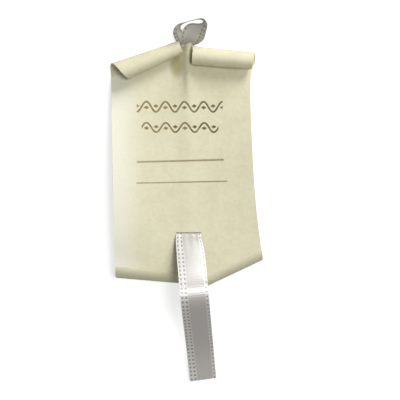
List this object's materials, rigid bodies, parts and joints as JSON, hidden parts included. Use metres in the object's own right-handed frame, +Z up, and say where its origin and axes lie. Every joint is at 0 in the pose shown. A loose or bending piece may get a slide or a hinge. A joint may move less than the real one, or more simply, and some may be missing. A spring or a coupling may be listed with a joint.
{
  "type": "paper scroll",
  "caption": "Small parchment favour scroll lying on its back, its corners rolled, with a narrow satin ribbon threaded through a slit and ending in a loop above.",
  "frame": {"origin": "centre of the whole part's bounding box in X and Y, at the height of the surface that it lies on", "axes": "+X to the reader's right, +Y towards the top of the sheet and the loop, +Z up from the surface, towards the reader"},
  "size_m": [0.0346, 0.0832, 0.0124],
  "materials": {
    "parchment": "matte",
    "ribbon": "satin"
  },
  "bodies": {
    "root": {"paper_scroll": "parchment", "satin_ribbon": "ribbon"}
  },
  "joints": []
}
